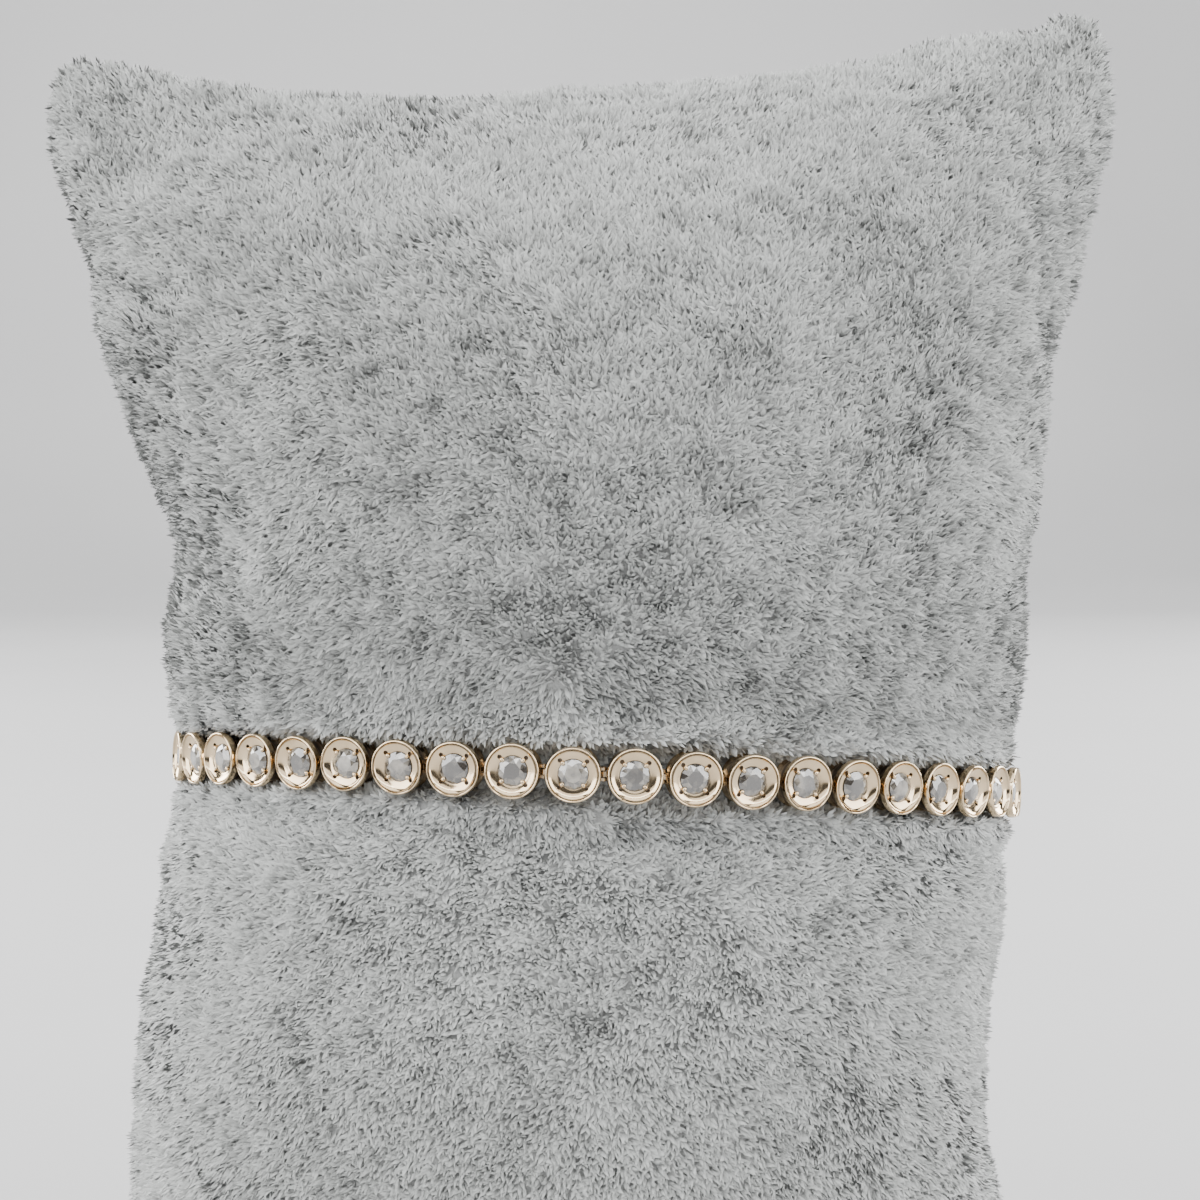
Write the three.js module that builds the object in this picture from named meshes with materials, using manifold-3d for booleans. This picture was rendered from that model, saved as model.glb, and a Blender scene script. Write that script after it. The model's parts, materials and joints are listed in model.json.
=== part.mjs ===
// A tennis bracelet of round cup links, fastened round a plush display pillow.
// Millimetres, +Z up. The origin is the middle of the pillow's flat base, and the front faces -Y.
import * as THREE from "three";
import { mergeVertices } from "three/addons/utils/BufferGeometryUtils.js";
import Module from "manifold-3d";

// Bracelet: a loop of links and one clasp
const linkCount = 40;
const rimRadius = 2.0;
const rimGap = 0.233; // between the rims of two links in a straight run
const claspPitches = 2; // the clasp takes the place of this many links
const loopRatio = 0.7525; // depth of the loop over its width
const loopPower = 1.77; // 2 is an ellipse, and less is more like a lens
const loopHeight = 53; // the middle of the loop above the base
const loopShift = 0.9; // the middle of the loop, to the right of the pillow's
const frontRise = 0.129; // the loop climbs by this share of its depth towards the front
const rightDrop = 0.052; // and falls by this share of its width towards the right
const loopSlip = -0.28; // share of a pitch that the clasp lies to the left of the back's middle
const playDegrees = 2.5; // how far the play in the hinges lets a link lean
const playTurn = 2.4; // radians between the leans of two neighbouring links

// One link: a cup with a rim, a sunken dish, a waist and a gallery ring behind
const linkSides = 10; // one side faces each neighbour
const faceHeight = 1.25; // the rim's top in front of the hinge line
const rimWidth = 0.19;
const rimFlare = 0.07; // the rim's top is this much narrower than its widest line
const rimWall = 0.45; // height of the rim's outer wall
const dishDepth = 0.3; // the dish's outer edge below the rim's top
const dishSlope = 0.1; // and its inner edge below that
const dishWallLean = 0.12; // the rim's inner wall leans in by this much
const waistRadius = 1.55;
const galleryRadius = 1.85;
const galleryBack = 0.9; // the gallery ring's back behind the hinge line
const galleryThick = 0.3;
const galleryWall = 0.4;

// The stone, seated in the middle of the dish
const stoneRadius = 1.0;
const tableShare = 0.55; // the table's radius over the stone's
const crownHeight = 0.27;
const pavilionTip = 0.1; // the stone's point in front of the hinge line, where the cup's hollow ends

// Hinge: two ears and a pin on one link, a tongue with an eye on the next
const pinRadius = 0.15;
const pinSides = 6;
const eyeClearance = 0.1; // between pin and eye, and between tongue and ears
const eyeWall = 0.13;
const eyeSegments = 4; // of the eye's round end
const tongueHeight = 0.36;
const earThick = 0.19;
const earHalfDepth = 0.26;
const earNose = 0.3; // the ear beyond the pin's middle
const lugRoot = 0.16; // how far an ear or a tongue is sunk in the waist's wall

// Clasp: one plain box
const claspHeight = 3.6;
const claspFront = 0.75; // its front in front of the hinge line
const claspBack = 0.75;
const claspEndGap = 0.7; // from a hinge's middle to the end of the box
const claspCorner = 0.8;
const claspBevel = 0.2;

// Pillow
const pillowHeight = 107; // the lowest stretch of the top seam
const pillowWidth = 84.8;
const pillowDepth = 53;
const pillowPower = 2; // of a free section's outline
const pillowPoints = 36;
const seamTilt = 2.0; // the top seam climbs this much from its middle to the right
const earRise = 4.3; // and both of its ends stand this much higher
const plushClearance = 0.45; // between the links' backs and the pillow
const grooveHalf = 2.3; // half the height of the groove that the bracelet presses

// Free sections of the pillow. at: share of the way from the bracelet up to the seam, or down to the base.
// half, shift: half width and sideways offset, as shares of half the pillow's width. deep: half depth, as a
// share of half its depth. rise: share of the seam's climb. lean: share of the loop's slope.
const upperSections = [
  { at: 0.075, half: 0.8, shift: 0.016, deep: 0.89, rise: 0, lean: 0.8 },
  { at: 0.19, half: 0.809, shift: 0.014, deep: 0.96, rise: 0, lean: 0.35 },
  { at: 0.3, half: 0.806, shift: 0.022, deep: 1, rise: 0, lean: 0.1 },
  { at: 0.36, half: 0.806, shift: 0.032, deep: 1, rise: 0, lean: 0 },
  { at: 0.46, half: 0.844, shift: 0.007, deep: 0.985, rise: 0.02, lean: 0 },
  { at: 0.58, half: 0.88, shift: -0.01, deep: 0.94, rise: 0.1, lean: 0 },
  { at: 0.7, half: 0.927, shift: -0.005, deep: 0.83, rise: 0.27, lean: 0 },
  { at: 0.81, half: 0.962, shift: -0.012, deep: 0.66, rise: 0.5, lean: 0 },
  { at: 0.9, half: 0.995, shift: 0.002, deep: 0.44, rise: 0.72, lean: 0 },
  { at: 0.96, half: 1, shift: 0, deep: 0.24, rise: 0.9, lean: 0 },
  { at: 0.985, half: 0.975, shift: 0, deep: 0.14, rise: 0.97, lean: 0 },
  { at: 1, half: 0.94, shift: 0, deep: 0.06, rise: 1, lean: 0 },
];
const lowerSections = [
  { at: 0.08, half: 0.795, shift: 0, deep: 0.89, lean: 0.8 },
  { at: 0.2, half: 0.797, shift: -0.005, deep: 0.96, lean: 0.35 },
  { at: 0.33, half: 0.813, shift: -0.03, deep: 1, lean: 0.1 },
  { at: 0.5, half: 0.822, shift: -0.041, deep: 1, lean: 0 },
  { at: 0.66, half: 0.832, shift: -0.035, deep: 0.98, lean: 0 },
  { at: 0.84, half: 0.835, shift: -0.03, deep: 0.9, lean: 0 },
  { at: 0.95, half: 0.81, shift: -0.02, deep: 0.77, lean: 0 },
  { at: 1, half: 0.755, shift: -0.02, deep: 0.63, lean: 0 },
];

// Sizes worked out from the ones above
const pitch = 2 * rimRadius + rimGap;
const claspSpan = claspPitches * pitch;
const eyeRadius = pinRadius + eyeClearance;
const eyeOuter = eyeRadius + eyeWall;
const earGap = tongueHeight / 2 + eyeClearance;

const goldMaterial = new THREE.MeshStandardMaterial({
  color: 0xdfb48c,
  roughness: 0.16,
  metalness: 1,
});
const plushMaterial = new THREE.MeshStandardMaterial({
  color: 0xb4b8ba,
  roughness: 0.95,
  metalness: 0,
});

const wasm = await Module();
wasm.setup();

// A closed geometry as a solid that can be joined and cut.
function solidOf(geometry) {
  const bare = geometry.clone();
  bare.deleteAttribute("normal");
  bare.deleteAttribute("uv");
  const merged = mergeVertices(bare, 1e-4);
  return new wasm.Manifold(
    new wasm.Mesh({
      numProp: 3,
      vertProperties: merged.attributes.position.array,
      triVerts: new Uint32Array(merged.index.array),
    }),
  );
}

// A solid as a geometry again.
function geometryOf(solid) {
  const mesh = solid.getMesh();
  const geometry = new THREE.BufferGeometry();
  geometry.setAttribute(
    "position",
    new THREE.BufferAttribute(Float32Array.from(mesh.vertProperties), 3),
  );
  geometry.setIndex(new THREE.BufferAttribute(Uint32Array.from(mesh.triVerts), 1));
  geometry.computeVertexNormals();
  return geometry;
}

// The link's outline from the stone's table round the rim and the gallery to the stone's point.
function cupProfile() {
  const rimOuter = rimRadius - rimFlare;
  const rimInner = rimOuter - rimWidth;
  const dishOuter = faceHeight - dishDepth;
  const girdle = dishOuter - dishSlope;
    return [
    [0, girdle + crownHeight],
    [stoneRadius * tableShare, girdle + crownHeight],
    [stoneRadius, girdle],
    [rimInner - dishWallLean, dishOuter],
    [rimInner, faceHeight],
    [rimOuter, faceHeight],
    [rimRadius, faceHeight - rimWall],
    [waistRadius, 0],
    [galleryRadius, galleryThick - galleryBack],
    [galleryRadius, -galleryBack],
    [galleryRadius - galleryWall, -galleryBack],
    [0, pavilionTip],
  ].map(([radius, height]) => new THREE.Vector2(radius, height));
}

// A link's cup and stone, turned about the link's own Z, which points out of its face.
function cupSolid() {
  const profile = cupProfile().reverse();
  const lathe = new THREE.LatheGeometry(profile, linkSides);
  lathe.rotateX(Math.PI / 2);
  return solidOf(lathe);
}

// A block between two corners.
function blockSolid(low, high) {
  const size = high.map((value, axis) => value - low[axis]);
  const block = new THREE.BoxGeometry(...size);
  block.translate(...low.map((value, axis) => value + size[axis] / 2));
  return solidOf(block);
}

// Two ears and the pin between them, with the pin's middle at hingeX. They start at rootX, inside the wall.
function forkSolid(rootX, hingeX) {
  const ear = (side) =>
    blockSolid(
      [rootX, side > 0 ? earGap : -earGap - earThick, -earHalfDepth],
      [hingeX + earNose, side > 0 ? earGap + earThick : -earGap, earHalfDepth],
    );
  const pin = new THREE.CylinderGeometry(pinRadius, pinRadius, 2 * earGap + earThick, pinSides);
  pin.translate(hingeX, 0, 0);
  return ear(1).add(ear(-1)).add(solidOf(pin));
}

// A tongue from rootX to an eye round hingeX, which lies to its left.
function tongueSolid(rootX, hingeX) {
  const outline = new THREE.Shape();
  outline.moveTo(rootX, eyeOuter);
  outline.lineTo(hingeX, eyeOuter);
  outline.absarc(hingeX, 0, eyeOuter, Math.PI / 2, Math.PI * 1.5, false);
  outline.lineTo(rootX, -eyeOuter);
  const corners = Array.from({ length: pinSides }, (_, index) => {
    const angle = ((index + 0.5) / pinSides) * 2 * Math.PI;
    const reach = eyeRadius / Math.cos(Math.PI / pinSides);
    return new THREE.Vector2(hingeX + reach * Math.cos(angle), reach * Math.sin(angle));
  });
  outline.holes.push(new THREE.Path(corners.reverse()));
  const tongue = new THREE.ExtrudeGeometry(outline, {
    depth: tongueHeight,
    bevelEnabled: false,
    curveSegments: eyeSegments,
  });
  tongue.translate(0, 0, -tongueHeight / 2);
  tongue.rotateX(Math.PI / 2);
  return solidOf(tongue);
}

// One link, centred between its two hinges: X along the bracelet, Y up, Z out of the face.
function linkGeometry() {
  const hinge = pitch / 2;
  const root = waistRadius - lugRoot;
  return geometryOf(
    cupSolid().add(forkSolid(root, hinge)).add(tongueSolid(-root, -hinge)),
  );
}

// The clasp: a plain box with rounded corners, and the same hinge parts as a link.
function claspGeometry() {
  const hinge = claspSpan / 2;
  const x = hinge - claspEndGap - claspBevel;
  const y = claspHeight / 2 - claspBevel;
  const outline = new THREE.Shape();
  outline.moveTo(x, claspCorner - y);
  outline.absarc(x - claspCorner, y - claspCorner, claspCorner, 0, Math.PI / 2, false);
  outline.absarc(claspCorner - x, y - claspCorner, claspCorner, Math.PI / 2, Math.PI, false);
  outline.absarc(claspCorner - x, claspCorner - y, claspCorner, Math.PI, Math.PI * 1.5, false);
  outline.absarc(x - claspCorner, claspCorner - y, claspCorner, Math.PI * 1.5, Math.PI * 2, false);
  const box = new THREE.ExtrudeGeometry(outline, {
    depth: claspFront + claspBack - 2 * claspBevel,
    bevelThickness: claspBevel,
    bevelSize: claspBevel,
    bevelSegments: 1,
    curveSegments: 3,
  });
  box.translate(0, 0, claspBevel - claspBack);
  const root = hinge - claspEndGap - lugRoot;
  return geometryOf(
    solidOf(box).add(forkSolid(root, hinge)).add(tongueSolid(-root, -hinge)),
  );
}

// A signed power, which keeps the sign of its base.
function signedPower(base, power) {
  return Math.sign(base) * Math.abs(base) ** power;
}

// How much higher the loop's sloping plane is at x, y than at its middle.
function loopSlope(x, y) {
  return -rightDrop * x - frontRise * y;
}

// A point of the hinge line at an angle, for a loop of that half width.
function loopPoint(angle, halfWidth) {
  const x = halfWidth * signedPower(Math.cos(angle), 2 / loopPower);
  const y = halfWidth * loopRatio * signedPower(Math.sin(angle), 2 / loopPower);
  return new THREE.Vector3(loopShift + x, y, loopHeight + loopSlope(x, y));
}

// The value between low and high at which a rising function reaches zero.
function rootOf(rising, low, high) {
  let [below, above] = [low, high];
  for (let step = 0; step < 60; step++) {
    const middle = (below + above) / 2;
    if (rising(middle) < 0) below = middle;
    else above = middle;
  }
  return (below + above) / 2;
}

// The angles of the hinges: one straight step for each link, anticlockwise from above, then the clasp's.
function walkLoop(halfWidth) {
  const firstHinge = claspSpan / 2 + loopSlip * pitch;
  const angles = [Math.PI - Math.acos((firstHinge / halfWidth) ** (loopPower / 2))];
  for (let step = 0; step <= linkCount; step++) {
    const span = step < linkCount ? pitch : claspSpan;
    const from = loopPoint(angles[step], halfWidth);
    const shortfall = (angle) => loopPoint(angle, halfWidth).distanceTo(from) - span;
    angles.push(rootOf(shortfall, angles[step], angles[step] + Math.PI / 2));
  }
  return angles;
}

// The loop's half width at which the last step comes back to the first hinge.
function closedHalfWidth() {
  const wholeLength = linkCount * pitch + claspSpan;
  const leftOver = (halfWidth) => {
    const angles = walkLoop(halfWidth);
    return angles[0] + 2 * Math.PI - angles[angles.length - 1];
  };
  return rootOf(leftOver, wholeLength / 8, wholeLength / 4);
}

// Places a mesh midway between two hinges, X along them and Z level and outwards, then leans it about X.
function placeBetween(mesh, start, end, lean) {
  const along = end.clone().sub(start).normalize();
  const out = along.clone().cross(new THREE.Vector3(0, 0, 1)).normalize();
  const up = out.clone().cross(along);
  mesh.position.copy(start).add(end).multiplyScalar(0.5);
  mesh.setRotationFromMatrix(new THREE.Matrix4().makeBasis(along, up, out));
  mesh.rotateX(lean);
}

// The bracelet: every link and the clasp between the hinges of the closed loop.
function bracelet(halfWidth) {
  const group = new THREE.Group();
  const hinges = walkLoop(halfWidth).map((angle) => loopPoint(angle, halfWidth));
  const linkShape = linkGeometry();
  for (let index = 0; index < linkCount; index++) {
    const link = new THREE.Mesh(linkShape, goldMaterial);
    link.name = "link_" + String(index + 1).padStart(2, "0");
    const lean = THREE.MathUtils.degToRad(playDegrees) * Math.sin(playTurn * index);
    placeBetween(link, hinges[index], hinges[index + 1], lean);
    group.add(link);
  }
  const clasp = new THREE.Mesh(claspGeometry(), goldMaterial);
  clasp.name = "clasp";
  placeBetween(clasp, hinges[linkCount], hinges[0], 0);
  group.add(clasp);
  return group;
}

// One section of the pillow as its points, anticlockwise from above.
function pillowRing(section) {
  return Array.from({ length: pillowPoints }, (_, index) => {
    const angle = (index / pillowPoints) * 2 * Math.PI;
    const across = signedPower(Math.cos(angle), 2 / section.power);
    const x = section.middle + section.halfWidth * across;
    const y = section.halfDepth * signedPower(Math.sin(angle), 2 / section.power);
    const seam = section.rise * (seamTilt * across + earRise * across ** 2);
    const slope = section.lean * loopSlope(x - loopShift, y);
    return new THREE.Vector3(x, y, section.height + seam + slope);
  });
}

// The pillow's sections from the base up, with the two that the bracelet presses in among them.
function pillowSections(loopHalfWidth) {
  const free = ({ at, half, shift, deep, rise = 0, lean }, end) => ({
    height: loopHeight + at * (end - loopHeight),
    middle: (shift * pillowWidth) / 2,
    halfWidth: (half * pillowWidth) / 2,
    halfDepth: (deep * pillowDepth) / 2,
    power: pillowPower,
    rise,
    lean,
  });
  const backs = galleryBack + plushClearance;
  const pressed = (offset) => ({
    height: loopHeight + offset,
    middle: loopShift,
    halfWidth: loopHalfWidth - backs,
    halfDepth: loopHalfWidth * loopRatio - backs,
    power: loopPower,
    rise: 0,
    lean: 1,
  });
  return [
    ...lowerSections.map((row) => free(row, 0)).reverse(),
    pressed(-grooveHalf),
    pressed(grooveHalf),
    ...upperSections.map((row) => free(row, pillowHeight)),
  ];
}

// The faces across a ring, as strips from its front to its back, so that a cap follows the ring's rise.
function capFaces(start, upwards) {
  const faces = [];
  const front = (step) => start + ((pillowPoints - step) % pillowPoints);
  const back = (step) => start + step;
  for (let step = 0; step < pillowPoints / 2; step++) {
    if (step > 0) faces.push([front(step), back(step + 1), back(step)]);
    if (step + 1 < pillowPoints / 2) faces.push([front(step), front(step + 1), back(step + 1)]);
  }
  return faces.flatMap((face) => (upwards ? face.reverse() : face));
}

// The pillow: one closed skin over its sections.
function pillow(loopHalfWidth) {
  const rings = pillowSections(loopHalfWidth).map(pillowRing);
  const topStart = (rings.length - 1) * pillowPoints;
  const faces = [...capFaces(0, false), ...capFaces(topStart, true)];
  for (let index = 0; index < pillowPoints; index++) {
    const next = (index + 1) % pillowPoints;
    for (let row = 0; row < topStart; row += pillowPoints) {
      const above = row + pillowPoints;
      faces.push(row + index, row + next, above + next);
      faces.push(row + index, above + next, above + index);
    }
  }
  const geometry = new THREE.BufferGeometry().setFromPoints(rings.flat());
  geometry.setIndex(faces);
  geometry.computeVertexNormals();
  const mesh = new THREE.Mesh(geometry, plushMaterial);
  mesh.name = "pillow";
  return mesh;
}

const loopHalfWidth = closedHalfWidth();
const assembly = new THREE.Group();
assembly.add(pillow(loopHalfWidth), bracelet(loopHalfWidth));
export default assembly;
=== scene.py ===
"""A tennis bracelet of round stone cups, fastened round a plush display pillow.

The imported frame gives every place. The links, the clasp and the pillow are made again here in their fine form, on the
same hinge line as the frame's solids. Sizes inside the classes are in millimetres, and a piece becomes metres when it
is placed.
"""

from __future__ import annotations

import json
import logging
import math
import random
from collections.abc import Callable
from dataclasses import dataclass, field
from enum import Enum

import bmesh
import bpy
from mathutils import Matrix, Vector, noise

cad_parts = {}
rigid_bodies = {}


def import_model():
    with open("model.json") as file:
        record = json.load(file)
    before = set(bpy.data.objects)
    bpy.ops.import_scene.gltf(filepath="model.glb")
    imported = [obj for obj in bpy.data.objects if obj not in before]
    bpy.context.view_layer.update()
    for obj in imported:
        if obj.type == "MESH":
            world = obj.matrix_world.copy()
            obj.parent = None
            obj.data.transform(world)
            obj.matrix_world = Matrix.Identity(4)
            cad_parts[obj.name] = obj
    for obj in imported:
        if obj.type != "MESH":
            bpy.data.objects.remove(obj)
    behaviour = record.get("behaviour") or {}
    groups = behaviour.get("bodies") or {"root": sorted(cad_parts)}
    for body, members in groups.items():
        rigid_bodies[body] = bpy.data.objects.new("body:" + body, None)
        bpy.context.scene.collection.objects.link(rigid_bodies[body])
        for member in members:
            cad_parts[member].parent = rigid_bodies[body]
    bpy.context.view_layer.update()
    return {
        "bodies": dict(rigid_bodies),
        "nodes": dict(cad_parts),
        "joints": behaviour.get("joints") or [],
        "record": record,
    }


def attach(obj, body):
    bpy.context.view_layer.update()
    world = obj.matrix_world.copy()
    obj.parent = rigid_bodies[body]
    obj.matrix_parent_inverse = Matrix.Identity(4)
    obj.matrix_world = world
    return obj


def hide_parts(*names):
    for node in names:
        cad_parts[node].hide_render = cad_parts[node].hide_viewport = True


MM = 0.001
BODY = "root"
log = logging.getLogger("bracelet")

Profile = list[tuple[float, float]]
Keep = Callable[[Vector], bool]


class Slot(Enum):
    """The record's material slots."""

    GOLD = "gold"
    PLUSH = "plush"
    STONE = "stone"


class Shade(Enum):
    """How a piece's faces meet in the light."""

    FLAT = 0
    ROUND = 1
    BY_ANGLE = 2


class Value:
    """A socket of a node tree that takes part in arithmetic."""

    def __init__(self, graph: "Graph", socket: bpy.types.NodeSocket) -> None:
        """Wraps a socket of the graph."""
        self.graph = graph
        self.socket = socket

    def _maths(self, operation: str, first: "Value | float", second: "Value | float") -> "Value":
        """Adds one Math node.

        Args:
            operation: The Math node's operation.
            first: Its first value.
            second: Its second value.

        Returns:
            The node's result.
        """
        node = self.graph.node("ShaderNodeMath", {"operation": operation}, {0: first, 1: second})
        return Value(self.graph, node.outputs[0])

    def __add__(self, other: "Value | float") -> "Value":
        """This value plus another."""
        return self._maths("ADD", self, other)

    __radd__ = __add__

    def __sub__(self, other: "Value | float") -> "Value":
        """This value less another."""
        return self._maths("SUBTRACT", self, other)

    def __rsub__(self, other: "Value | float") -> "Value":
        """Another value less this one."""
        return self._maths("SUBTRACT", other, self)

    def __mul__(self, other: "Value | float") -> "Value":
        """This value times another."""
        return self._maths("MULTIPLY", self, other)

    __rmul__ = __mul__


class Graph:
    """A material with one Principled shader and the nodes that feed it."""

    def __init__(self, name: str) -> None:
        """Makes the material.

        Args:
            name: The material's name.
        """
        self.material = bpy.data.materials.new(name)
        self.material.use_nodes = True
        self.tree = self.material.node_tree
        self.shader = self.tree.nodes["Principled BSDF"]

    def node(self, kind: str, settings: dict | None = None, inputs: dict | None = None) -> bpy.types.Node:
        """Adds a node.

        Args:
            kind: The node's type.
            settings: Its own settings, which are set first. A ramp's stops are (place, colour) rows.
            inputs: Values or links for its sockets, by name or number.

        Returns:
            The new node.
        """
        node = self.tree.nodes.new(kind)
        for name, value in (settings or {}).items():
            if name == "stops":
                self._set_stops(node.color_ramp, value)
            else:
                setattr(node, name, value)
        for name, value in (inputs or {}).items():
            self.feed(node.inputs[name], value)
        return node

    @staticmethod
    def _set_stops(ramp: bpy.types.ColorRamp, stops: list[tuple[float, tuple[float, ...]]]) -> None:
        """Gives a ramp its stops."""
        while len(ramp.elements) < len(stops):
            ramp.elements.new(0.5)
        for element, (place, colour) in zip(ramp.elements, stops):
            element.position = place
            element.color = colour

    def feed(self, socket: bpy.types.NodeSocket, value: object) -> None:
        """Links a value to a socket, or sets the socket to a constant."""
        if isinstance(value, Value):
            self.tree.links.new(value.socket, socket)
        elif isinstance(value, bpy.types.NodeSocket):
            self.tree.links.new(value, socket)
        else:
            socket.default_value = value

    def value(self, node: bpy.types.Node, output: str | int = 0) -> Value:
        """A node's output as a value for arithmetic."""
        return Value(self, node.outputs[output])

    def place(self) -> bpy.types.NodeSocket:
        """The Object coordinates of the surface."""
        return self.node("ShaderNodeTexCoord").outputs["Object"]

    def noise(self, per_mm: float, detail: float = 2.0, place: bpy.types.NodeSocket | None = None) -> Value:
        """Soft noise over the surface.

        Args:
            per_mm: How many of its cells lie along a millimetre.
            detail: Its finer octaves.
            place: The coordinates that it reads, or the object's own.

        Returns:
            A value about 0.5.
        """
        inputs = {"Vector": place or self.place(), "Scale": per_mm / MM, "Detail": detail}
        return self.value(self.node("ShaderNodeTexNoise", {}, inputs), "Fac")

    def attribute(self, name: str) -> Value:
        """A number that the mesh holds at each point."""
        return self.value(self.node("ShaderNodeAttribute", {"attribute_name": name}), "Fac")

    def mix(self, share: Value | float, first: object, second: object) -> Value:
        """A colour between two colours."""
        settings = {"data_type": "RGBA", "clamp_factor": True}
        node = self.node("ShaderNodeMix", settings, {0: share, 6: first, 7: second})
        return self.value(node, 2)

    def softened(self, name: str, share: float) -> bpy.types.NodeSocket:
        """A surface normal drawn towards a direction that the mesh holds.

        Args:
            name: The direction's name.
            share: How far it is drawn, from 0 to 1.

        Returns:
            The normal.
        """
        own = self.node("ShaderNodeNewGeometry").outputs["Normal"]
        held = self.node("ShaderNodeAttribute", {"attribute_name": name}).outputs["Vector"]
        between = self.node("ShaderNodeMix", {"data_type": "VECTOR"}, {0: share, 4: own, 5: held})
        return self.node("ShaderNodeVectorMath", {"operation": "NORMALIZE"}, {0: between.outputs[1]}).outputs[0]

    def bump(
        self, height: Value, depth_mm: float, strength: float, base: bpy.types.NodeSocket | None = None
    ) -> bpy.types.NodeSocket:
        """A surface normal that follows a height.

        Args:
            height: The height, from 0 to 1.
            depth_mm: How far a height of 1 stands out.
            strength: The share of the effect.
            base: The normal that it starts from, or the surface's own.

        Returns:
            The normal.
        """
        inputs = {"Height": height, "Distance": depth_mm * MM, "Strength": strength}
        if base:
            inputs["Normal"] = base
        return self.node("ShaderNodeBump", {}, inputs).outputs["Normal"]

    def finish(self, **sockets: object) -> bpy.types.Material:
        """Feeds the shader, with underscores for the spaces in its sockets' names.

        Returns:
            The finished material.
        """
        for name, value in sockets.items():
            self.feed(self.shader.inputs[name.replace("_", " ")], value)
        return self.material


def rgba(red: float, green: float, blue: float) -> tuple[float, float, float, float]:
    """A solid colour."""
    return (red, green, blue, 1.0)


@dataclass(frozen=True)
class PolishedGold:
    """Pale rose gold, polished, with fine wear, and painted shade darkening its recesses."""

    name: str = "rose_gold"
    bright: tuple[float, ...] = rgba(0.73, 0.58, 0.385)
    warm: tuple[float, ...] = rgba(0.59, 0.445, 0.275)
    # painted shade: the near-black colour laid in the cup's recesses
    painted_shade_colour: tuple[float, ...] = rgba(0.12, 0.1, 0.09)
    roughness: float = 0.1
    wear: float = 0.16

    def build(self) -> bpy.types.Material:
        """The material of cups, hinges and clasp."""
        graph = Graph(self.name)
        cloud = graph.noise(0.9, 3.0)
        grain = graph.noise(14.0, 3.0)
        recess = graph.attribute("recess")
        metal = graph.mix(cloud * 1.6 - 0.3, self.bright, self.warm)
        # painted shade: the recesses are darkened towards a near-black colour, where shade falls in the cup
        colour = graph.mix(recess * 0.85, metal, self.painted_shade_colour)
        roughness = cloud * self.wear + grain * 0.05 + recess * 0.25 + (self.roughness - 0.08)
        normal = graph.bump(graph.noise(5.0, 4.0) + grain * 0.4, 0.004, 0.35)
        return graph.finish(Base_Color=colour, Metallic=1.0, Roughness=roughness, Normal=normal)


@dataclass(frozen=True)
class CutStone:
    """A clear, slightly milky stone, with painted reflections: dark and pale tones laid over its facets."""

    name: str = "cut_stone"
    # painted reflections: the pale and the deep tone that the facets are painted with
    pale: tuple[float, ...] = rgba(0.31, 0.282, 0.235)
    deep: tuple[float, ...] = rgba(0.05, 0.044, 0.038)
    index: float = 2.2

    def build(self) -> bpy.types.Material:
        """The material of the stones."""
        graph = Graph(self.name)
        facet = graph.attribute("facet")
        cloud = graph.noise(1.4, 2.0)
        # painted reflections: each facet's random brightness and a blotchy noise blend the dark and pale tones
        colour = graph.mix(facet * 0.9 + cloud * 2.2 - 1.1, self.deep, self.pale)
        return graph.finish(
            Base_Color=colour,
            Roughness=cloud * 0.06 + 0.02,
            IOR=self.index,
            Transmission_Weight=0.25,
            Coat_Weight=0.35,
            Coat_Roughness=0.03,
        )


@dataclass(frozen=True)
class Plush:
    """Grey plush: a backing cloth, or the tufts that stand on it."""

    name: str = "plush_pile"
    # painted shade: root is the dark tone at the tufts' roots and on the cloth, standing in for shade between the tufts
    root: tuple[float, ...] = rgba(0.19, 0.193, 0.19)
    tip: tuple[float, ...] = rgba(0.33, 0.34, 0.33)
    pale: tuple[float, ...] = rgba(0.51, 0.525, 0.51)
    soften: float = 0.7
    tufted: bool = True

    def build(self) -> bpy.types.Material:
        """The material of the pile, or of the cloth under it."""
        graph = Graph(self.name)
        cloud = graph.noise(0.05, 3.0)
        speck = graph.noise(5.0, 3.0)
        if self.tufted:
            along = graph.attribute("along")
            own = graph.attribute("own")
            body = graph.mix(own * 0.6 + cloud * 0.9 + speck * 0.5 - 0.55, self.tip, self.pale)
            # painted shade: each tuft darkens towards its root, where shade falls between tufts
            colour = graph.mix(along * 1.5, self.root, body)
            facing = graph.softened("facing", self.soften)
        else:
            # painted shade: the cloth under the pile is speckled between the dark root tone and the tip tone, as shade
            # in the gaps between tufts
            colour = graph.mix(speck * 1.6 - 0.4, self.root, self.tip)
            facing = None
        fibres = graph.noise(9.0, 3.0)
        return graph.finish(
            Base_Color=colour,
            Roughness=0.92,
            Specular_IOR_Level=0.2,
            Sheen_Weight=0.9,
            Sheen_Roughness=0.5,
            Normal=graph.bump(fibres, 0.05, 0.5, facing),
        )


@dataclass(frozen=True)
class PalePaint:
    """The plain surface of the floor and the backdrop."""

    name: str = "pale_floor"
    colour: tuple[float, ...] = rgba(0.44, 0.44, 0.444)

    def build(self) -> bpy.types.Material:
        """The material of the stage."""
        graph = Graph(self.name)
        tone = graph.mix(graph.noise(0.01, 1.0), self.colour, rgba(0.475, 0.475, 0.475))
        return graph.finish(Base_Color=tone, Roughness=0.75)


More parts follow.
